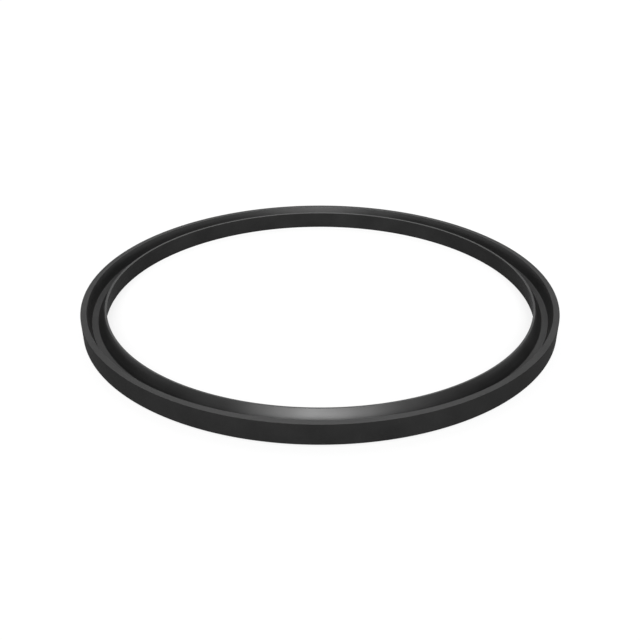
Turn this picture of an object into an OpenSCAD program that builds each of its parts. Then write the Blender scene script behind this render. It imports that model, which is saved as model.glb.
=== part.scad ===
/* [Fit] */
// Diameter of the rod that the lip seals on
rod_d = 180; // [60:1:400]
// Radial width of the gland that the ring fills, from the rod to the housing
gland_w = 10; // [9.6:0.1:12]
// Radial gap between the rod and the heel
heel_gap = 1.25; // [0.6:0.05:2]
// Radial squeeze of the lip's sealing edge on the rod
lip_squeeze = 0.33; // [0.1:0.01:0.8]

/* [Ring] */
// Height from the heel's flat face to the top of the outer rim
height = 9.15; // [8:0.05:12]
// Width of the rim's flat top
rim_top_w = 2.42; // [1.6:0.02:3]
// Lean of the rim's inner wall from the upright
rim_wall_angle = 17.5; // [10:0.5:22]

/* [Groove] */
// Depth of the groove below the top of the rim
groove_depth = 4.9; // [3.5:0.1:5.5]
// Width of the groove's flat floor
groove_floor_w = 2.6; // [2:0.1:3]

/* [Lip] */
// Height of the sealing edge below the top of the rim
lip_drop = 0.69; // [0.4:0.01:1.5]
// Width of the land trimmed across the lip's tip
land_w = 0.84; // [0.5:0.02:1.2]

/* [Heel] */
// Height of the chamfer between the heel and the outer wall
chamfer_h = 1.07; // [0.5:0.01:1.5]
// Slope of that chamfer from the heel's flat face
chamfer_angle = 30; // [25:1:45]

/* [Edges] */
// Radius of the moulded edges
edge_r = 0.15; // [0.05:0.01:0.25]
// Radius of the knife-trimmed edges of the land
trim_r = 0.05; // [0.02:0.01:0.1]
// Radius in both roots of the groove
root_r = 0.3; // [0.1:0.05:0.6]

/* [Hidden] */

rubber = [0.16, 0.16, 0.165];

// Segments round the ring, and round a full circle of a corner's radius
ring_segments = 128;
corner_segments = 16;

// How far a shape that is cut, or that cuts, runs on past an edge
overshoot = 0.05;

// By how much a corner's arc crosses both of its sides, so that it meets them with no step
bite = 0.0002;

// Height of the groove's cutter as a share of the height of its walls
groove_rise = 1.5;

outer_r = rod_d / 2 + gland_w;
heel_r = rod_d / 2 + heel_gap;
lip_r = rod_d / 2 - lip_squeeze;
lip_z = height - lip_drop;
floor_z = height - groove_depth;

// The bore wall leans in towards the tip, and the land is trimmed square to it
lip_lean = atan((heel_r - lip_r) / lip_z);
land_slope = [cos(lip_lean), sin(lip_lean)];

// Corners of the section as [radius, height], in order round its outline
heel_inner = [heel_r, 0];
heel_outer = [outer_r - chamfer_h / tan(chamfer_angle), 0];
wall_foot = [outer_r, chamfer_h];
rim_outer = [outer_r, height];
rim_inner = [outer_r - rim_top_w, height];
floor_outer = [rim_inner[0] - groove_depth * tan(rim_wall_angle), floor_z];
floor_inner = floor_outer - [groove_floor_w, 0];
lip_edge = [lip_r, lip_z];
land_edge = lip_edge + land_w * land_slope;
outline = [heel_inner, heel_outer, wall_foot, rim_outer, rim_inner,
    floor_outer, floor_inner, land_edge, lip_edge];

// Which corners of the outline are moulded edges, roots of the groove and trimmed edges
moulded = [0, 1, 2, 3, 4];
roots = [5, 6];
trimmed = [7, 8];

// The section before its groove is cut: the rim's top and the land run on past their edges
blank = [heel_inner, heel_outer, wall_foot, rim_outer,
    rim_inner - [overshoot, 0], land_edge + land_slope * overshoot, lip_edge];

function unit(v) = v / norm(v);

// Directions from corner i back to the corner before it, on to the one after, and between
function back(i) = unit(outline[(i + len(outline) - 1) % len(outline)] - outline[i]);
function ahead(i) = unit(outline[(i + 1) % len(outline)] - outline[i]);
function between(i) = unit(back(i) + ahead(i));
function half_angle(i) = acos(back(i) * ahead(i)) / 2;

// What lies between corner i and an arc of radius r that touches both of its sides
module corner_wedge(i, r) {
    centre = outline[i] + between(i) * r / sin(half_angle(i));
    reach = [for (side = [back(i), ahead(i)])
        centre + (outline[i] + side * r / tan(half_angle(i)) - centre) * (r + overshoot) / r];
    difference() {
        polygon([centre, reach[0], outline[i] - between(i) * overshoot, reach[1]]);
        translate(centre)
            rotate(atan2(between(i)[1], between(i)[0]))
            circle(r + bite, $fn = corner_segments);
    }
}

// What is cut from the blank between the lip and the rim, with both of its roots rounded
module groove() {
    difference() {
        polygon([
            floor_inner,
            floor_outer,
            floor_outer + (rim_inner - floor_outer) * groove_rise,
            floor_inner + (land_edge - floor_inner) * groove_rise
        ]);
        for (i = roots) corner_wedge(i, root_r);
    }
}

// Half of the ring cut along its axis: bore wall, heel, outer wall, rim, groove and lip
module section() {
    difference() {
        polygon(blank);
        groove();
        for (i = moulded) corner_wedge(i, edge_r);
        for (i = trimmed) corner_wedge(i, trim_r);
    }
}

module lip_seal() {
    color(rubber) rotate_extrude($fn = ring_segments) section();
}

lip_seal();
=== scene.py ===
"""A one-piece lip seal of satin black rubber, standing on its heel with the groove upward.

The ring is turned from one section. The section's sizes are in millimetres and follow the
part's own, and everything that Blender gets is in metres.
"""

import math

import bpy
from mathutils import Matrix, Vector


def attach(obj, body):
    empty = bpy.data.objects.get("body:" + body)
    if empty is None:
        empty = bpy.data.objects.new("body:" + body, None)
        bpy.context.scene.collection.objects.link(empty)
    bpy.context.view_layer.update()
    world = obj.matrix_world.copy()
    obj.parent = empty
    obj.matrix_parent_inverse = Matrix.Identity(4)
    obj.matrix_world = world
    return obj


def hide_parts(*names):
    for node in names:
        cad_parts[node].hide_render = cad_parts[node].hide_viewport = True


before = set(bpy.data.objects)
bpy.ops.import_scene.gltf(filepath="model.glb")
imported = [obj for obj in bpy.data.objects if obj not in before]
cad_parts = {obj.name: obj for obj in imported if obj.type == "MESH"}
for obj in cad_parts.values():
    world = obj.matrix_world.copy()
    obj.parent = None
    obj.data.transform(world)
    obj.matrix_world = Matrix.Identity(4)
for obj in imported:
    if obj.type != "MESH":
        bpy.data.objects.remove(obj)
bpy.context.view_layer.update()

MM = 0.001

# Fit of the ring between its rod and its housing
ROD_D = 180.0
GLAND_W = 10.0
HEEL_GAP = 1.25
LIP_SQUEEZE = 0.33

# Rim, groove, lip and heel
HEIGHT = 9.15
RIM_TOP_W = 2.42
RIM_WALL_ANGLE = math.radians(17.5)
GROOVE_DEPTH = 4.9
GROOVE_FLOOR_W = 2.6
LIP_DROP = 0.69
LAND_W = 0.84
CHAMFER_H = 1.07
CHAMFER_ANGLE = math.radians(30)

# Radii of the moulded edges, of the trimmed edges and of the groove's roots
EDGE_R = 0.15
TRIM_R = 0.05
ROOT_R = 0.3

# The ring's finishes, in the order of its materials; those of the land and the bore carry painted
# light in their colour. They meet in the middle of an edge.
WALL, OPEN_SIDE, LAND, BORE = range(4)

# Steps round the ring and along each rounded corner
RING_STEPS = 720
CORNER_STEPS = 6

OUTER_R = ROD_D / 2 + GLAND_W
HEEL_R = ROD_D / 2 + HEEL_GAP
LIP_R = ROD_D / 2 - LIP_SQUEEZE
LIP_Z = HEIGHT - LIP_DROP
LIP_LEAN = math.atan((HEEL_R - LIP_R) / LIP_Z)

# The photograph's camera. Its distance and its aim are shares of the ring's outside radius.
SENSOR_MM = 36.0
LENS_MM = 42.62
CAMERA_ELEVATION = math.radians(28.68)
CAMERA_DISTANCE = 3.36
AIM_BELOW_RIM = 0.1694

# The camera draws nothing nearer than this, in metres
CLIP_START = 0.01


def ring_corners():
    """Corners of the section as (radius, height), each one's radius, and the finish after it."""
    floor_z = HEIGHT - GROOVE_DEPTH
    floor_outer_r = OUTER_R - RIM_TOP_W - GROOVE_DEPTH * math.tan(RIM_WALL_ANGLE)
    land_edge = (LIP_R + LAND_W * math.cos(LIP_LEAN), LIP_Z + LAND_W * math.sin(LIP_LEAN))
    return [
        ((HEEL_R, 0), EDGE_R, WALL),
        ((OUTER_R - CHAMFER_H / math.tan(CHAMFER_ANGLE), 0), EDGE_R, WALL),
        ((OUTER_R, CHAMFER_H), EDGE_R, WALL),
        ((OUTER_R, HEIGHT), EDGE_R, OPEN_SIDE),
        ((OUTER_R - RIM_TOP_W, HEIGHT), EDGE_R, OPEN_SIDE),
        ((floor_outer_r, floor_z), ROOT_R, OPEN_SIDE),
        ((floor_outer_r - GROOVE_FLOOR_W, floor_z), ROOT_R, OPEN_SIDE),
        (land_edge, TRIM_R, LAND),
        ((LIP_R, LIP_Z), TRIM_R, BORE),
    ]


def round_corner(before, corner, after, radius):
    """Points and outward normals along the arc that replaces a corner."""
    before, corner, after = Vector(before), Vector(corner), Vector(after)
    coming = (corner - before).normalized()
    going = (after - corner).normalized()
    turn = math.atan2(coming.x * going.y - coming.y * going.x, coming.dot(going))
    start = corner - coming * radius * math.tan(abs(turn) / 2)
    side = math.copysign(1, turn)
    centre = start + Vector((-coming.y, coming.x)) * radius * side
    heading = math.atan2(coming.y, coming.x)
    arc = []
    for step in range(CORNER_STEPS + 1):
        angle = heading + turn * step / CORNER_STEPS
        normal = Vector((math.sin(angle), -math.cos(angle)))
        arc.append((centre + normal * radius * side, normal))
    return arc


def ring_outline():
    """The whole section with its corners rounded: points, normals and the finish after each."""
    corners = ring_corners()
    outline = []
    for i, (corner, radius, finish) in enumerate(corners):
        before = corners[i - 1]
        after = corners[(i + 1) % len(corners)]
        arc = round_corner(before[0], corner, after[0], radius)
        middle = len(arc) // 2
        outline += [(point, normal, before[2]) for point, normal in arc[:middle]]
        outline += [(point, normal, finish) for point, normal in arc[middle:]]
    return outline


def turn_ring(name):
    """The section turned about the axis into a closed mesh that is shaded by its true normals."""
    outline = ring_outline()
    count = len(outline)
    points, normals, faces, finishes = [], [], [], []
    for step in range(RING_STEPS):
        angle = math.tau * step / RING_STEPS
        across, along = math.cos(angle), math.sin(angle)
        here = step * count
        there = (step + 1) % RING_STEPS * count
        for i, (point, normal, finish) in enumerate(outline):
            points.append((point.x * across * MM, point.x * along * MM, point.y * MM))
            normals.append((normal.x * across, normal.x * along, normal.y))
            after = (i + 1) % count
            faces.append((here + i, there + i, there + after, here + after))
            finishes.append(finish)
    mesh = bpy.data.meshes.new(name)
    mesh.from_pydata(points, [], faces)
    mesh.polygons.foreach_set("material_index", finishes)
    mesh.shade_smooth()
    mesh.normals_split_custom_set_from_vertices(normals)
    ring = bpy.data.objects.new(name, mesh)
    bpy.context.scene.collection.objects.link(ring)
    return ring


class Wire:
    """An output in a material's tree, on which sums add their Math nodes."""

    def __init__(self, tree, socket=None):
        self.tree = tree
        self.socket = socket

    def node(self, kind, settings, sockets, output=0):
        """A new node of that kind with its settings, then its sockets' values or links."""
        new = self.tree.nodes.new(kind)
        for setting, value in settings.items():
            setattr(new, setting, value)
        for socket, value in sockets.items():
            if isinstance(value, Wire):
                self.tree.links.new(value.socket, new.inputs[socket])
            else:
                new.inputs[socket].default_value = value
        return Wire(self.tree, new.outputs[output] if new.outputs else None)

    def other(self, output):
        """Another output of the same node."""
        return Wire(self.tree, self.socket.node.outputs[output])

    def maths(self, operation, first, second):
        return self.node("ShaderNodeMath", {"operation": operation}, {0: first, 1: second})

    def __add__(self, value):
        return self.maths("ADD", self, value)

    def __radd__(self, value):
        return self.maths("ADD", value, self)

    def __sub__(self, value):
        return self.maths("SUBTRACT", self, value)

    def __rsub__(self, value):
        return self.maths("SUBTRACT", value, self)

    def __mul__(self, value):
        return self.maths("MULTIPLY", self, value)

    def __rmul__(self, value):
        return self.maths("MULTIPLY", value, self)


def new_material(name):
    material = bpy.data.materials.new(name)
    material.use_nodes = True
    material.node_tree.nodes.clear()
    return material, Wire(material.node_tree)


# Skin of the rubber, in metres: its fine grain, the rings that a turned mould leaves in it, and
# the slow change of its gloss along the ring
GRAIN_SIZE = 0.0003
RING_PITCH = 0.0004
CLOUD_SIZE = 0.016

# Octaves of detail in each of them
GRAIN_DETAIL = 3.0
RING_DETAIL = 2.0
CLOUD_DETAIL = 3.0

# The level that a noise lies round, and how strongly two of them change colour and roughness
MIDDLE = 0.5
CONTRAST = 1.8

# Full strength of a light or a bump, white, and an opaque colour
FULL = 1.0

# Sockets of the Mix node where it mixes colours
MIX_FACTOR, MIX_FIRST, MIX_SECOND, MIX_RESULT = 0, 6, 7, 2


def place_on_ring(start):
    """The place on the object, and the same as radius and height, which is alike all round."""
    place = start.node("ShaderNodeTexCoord", {}, {}, "Object")
    height = start.node("ShaderNodeSeparateXYZ", {}, {0: place}, "Z")
    level = start.node("ShaderNodeCombineXYZ", {}, {"Z": height})
    spoke = start.node("ShaderNodeVectorMath", {"operation": "SUBTRACT"}, {0: place, 1: level})
    radius = start.node("ShaderNodeVectorMath", {"operation": "LENGTH"}, {0: spoke}, "Value")
    return place, start.node("ShaderNodeCombineXYZ", {}, {"X": radius, "Y": height})


def noise(where, size, detail):
    sockets = {"Vector": where, "Scale": 1 / size, "Detail": detail}
    return where.node("ShaderNodeTexNoise", {}, sockets, "Fac")


def grey(level):
    return (level, level, level, FULL)


def rubber(name, darkest, palest, gloss, roughness, roughness_change, ring_share, relief):
    """Black rubber, whose fine relief is part grain and part rings."""
    material, start = new_material(name)
    place, turned = place_on_ring(start)
    cloud = noise(place, CLOUD_SIZE, CLOUD_DETAIL)
    grain = noise(place, GRAIN_SIZE, GRAIN_DETAIL)
    rings = noise(turned, RING_PITCH, RING_DETAIL)
    skin = grain * (1 - ring_share) + rings * ring_share
    shade = (cloud + skin - 2 * MIDDLE) * CONTRAST + MIDDLE
    color = start.node(
        "ShaderNodeMix",
        {"data_type": "RGBA"},
        {MIX_FACTOR: shade, MIX_FIRST: grey(darkest), MIX_SECOND: grey(palest)},
        MIX_RESULT,
    )
    bump = start.node("ShaderNodeBump", {}, {"Height": skin, "Strength": FULL, "Distance": relief})
    shader = start.node(
        "ShaderNodeBsdfPrincipled",
        {},
        {
            "Base Color": color,
            "Roughness": (shade - MIDDLE) * roughness_change + roughness,
            "Specular IOR Level": gloss,
            "Normal": bump,
        },
    )
    start.node("ShaderNodeOutputMaterial", {}, {"Surface": shader})
    return material


def wall_rubber():
    """The outside wall and the heel, matt from a blasted mould."""
    return rubber(
        "wall_rubber",
        darkest=0.0126,
        palest=0.0209,
        gloss=0.008,
        roughness=0.58,
        roughness_change=0.2,
        ring_share=0.3,
        relief=0.000014,
    )


def open_side_rubber():
    """Rim, groove and lip, satin from the polished and turned core."""
    return rubber(
        "open_side_rubber",
        darkest=0.006,
        palest=0.011,
        gloss=0.68,
        roughness=0.39,
        roughness_change=0.12,
        ring_share=0.6,
        relief=0.000007,
    )


# Partly painted highlight: the land's greys are much paler than the rest of the rubber, partly for
# the greyer cut face and partly to stand in for the light line along the lip's tip.
def trimmed_rubber_with_painted_highlight():
    """The land that a knife leaves across the lip's tip, paler partly because cut rubber is greyer
    and partly as a painted highlight along the tip.
    """
    return rubber(
        "trimmed_rubber_with_painted_highlight",
        darkest=0.038,
        palest=0.068,
        gloss=0.3,
        roughness=0.44,
        roughness_change=0.12,
        ring_share=0.85,
        relief=0.000009,
    )


# Painted light: the bore's greys are set paler than the outside wall's, though the ring is one
# rubber, to stand in for light on the bore.
def bore_rubber_with_painted_light():
    """The wall that closes on the rod, less matt than the outside, with painted light: its greys
    are a shade paler than the outside's to stand in for light that falls on it.
    """
    return rubber(
        "bore_rubber_with_painted_light",
        darkest=0.014,
        palest=0.0233,
        gloss=0.015,
        roughness=0.58,
        roughness_change=0.2,
        ring_share=0.3,
        relief=0.000014,
    )


def make_ring():
    ring = turn_ring("lip_seal_ring")
    for finish in (wall_rubber, open_side_rubber, trimmed_rubber_with_painted_highlight, bore_rubber_with_painted_light):
        ring.data.materials.append(finish())
    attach(ring, "root")
    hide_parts("lip_seal")


# The floor's side in metres, and its grey
FLOOR_SIDE = 12.0
FLOOR_LEVEL = 0.95

# How much of what is seen of the floor is plain white, which leaves a faint shadow on it
FLOOR_WHITE = 0.8


def white_floor():
    material, start = new_material("white_floor")
    camera = start.node("ShaderNodeLightPath", {}, {}, "Is Camera Ray")
    seen = camera + camera.other("Is Glossy Ray") + camera.other("Is Transmission Ray")
    lit = start.node("ShaderNodeBsdfDiffuse", {}, {"Color": grey(FLOOR_LEVEL)})
    white = start.node("ShaderNodeEmission", {}, {"Color": grey(FULL), "Strength": FULL})
    shader = start.node("ShaderNodeMixShader", {}, {0: seen * FLOOR_WHITE, 1: lit, 2: white})
    start.node("ShaderNodeOutputMaterial", {}, {"Surface": shader})
    return material


def make_floor():
    half = FLOOR_SIDE / 2
    mesh = bpy.data.meshes.new("floor")
    mesh.from_pydata(
        [(-half, -half, 0), (half, -half, 0), (half, half, 0), (-half, half, 0)],
        [],
        [(0, 1, 2, 3)],
    )
    floor = bpy.data.objects.new("floor", mesh)
    bpy.context.scene.collection.objects.link(floor)
    mesh.materials.append(white_floor())


def make_camera():
    """The photograph's own view, from the front and above, level and centred on the ring."""
    radius = OUTER_R * MM
    aim = Vector((0, 0, HEIGHT * MM - AIM_BELOW_RIM * radius))
    back = Vector((0, -math.cos(CAMERA_ELEVATION), math.sin(CAMERA_ELEVATION)))
    data = bpy.data.cameras.new("camera")
    data.sensor_width = SENSOR_MM
    data.lens = LENS_MM
    data.clip_start = CLIP_START
    camera = bpy.data.objects.new("camera", data)
    camera.location = aim + back * CAMERA_DISTANCE * radius
    camera.rotation_euler = (math.pi / 2 - CAMERA_ELEVATION, 0, 0)
    bpy.context.scene.collection.objects.link(camera)
    bpy.context.scene.camera = camera


# The room's light overhead, and the angles between which it pales to white at the horizon
ROOM_LIGHT = 0.26
ROOM_ABOVE = math.radians(16)
HORIZON_BELOW = math.radians(9)


def make_room():
    world = bpy.data.worlds.new("studio")
    world.use_nodes = True
    world.node_tree.nodes.clear()
    start = Wire(world.node_tree)
    way = start.node("ShaderNodeTexCoord", {}, {}, "Generated")
    strength = start.node(
        "ShaderNodeMapRange",
        {"interpolation_type": "SMOOTHSTEP"},
        {
            "Value": start.node("ShaderNodeSeparateXYZ", {}, {0: way}, "Z"),
            "From Min": math.sin(HORIZON_BELOW),
            "From Max": math.sin(ROOM_ABOVE),
            "To Min": FULL,
            "To Max": ROOM_LIGHT,
        },
    )
    light = start.node("ShaderNodeBackground", {}, {"Color": grey(FULL), "Strength": strength})
    start.node("ShaderNodeOutputWorld", {}, {"Surface": light})
    bpy.context.scene.world = world


# Lamps: name, bearing from +X, height and size in degrees, and strength
LAMPS = [
    ("front_panel", 270, 43, 42, 3.44),
    ("back_panel", 90, 58, 40, 0.735),
]


def make_lamps():
    for name, bearing, height, size, strength in LAMPS:
        data = bpy.data.lights.new(name, "SUN")
        data.energy = strength
        data.angle = math.radians(size)
        lamp = bpy.data.objects.new(name, data)
        lamp.rotation_euler = (0, math.pi / 2 - math.radians(height), math.radians(bearing))
        bpy.context.scene.collection.objects.link(lamp)


make_ring()
make_floor()
make_camera()
make_room()
make_lamps()
bpy.context.scene.view_settings.view_transform = "Standard"
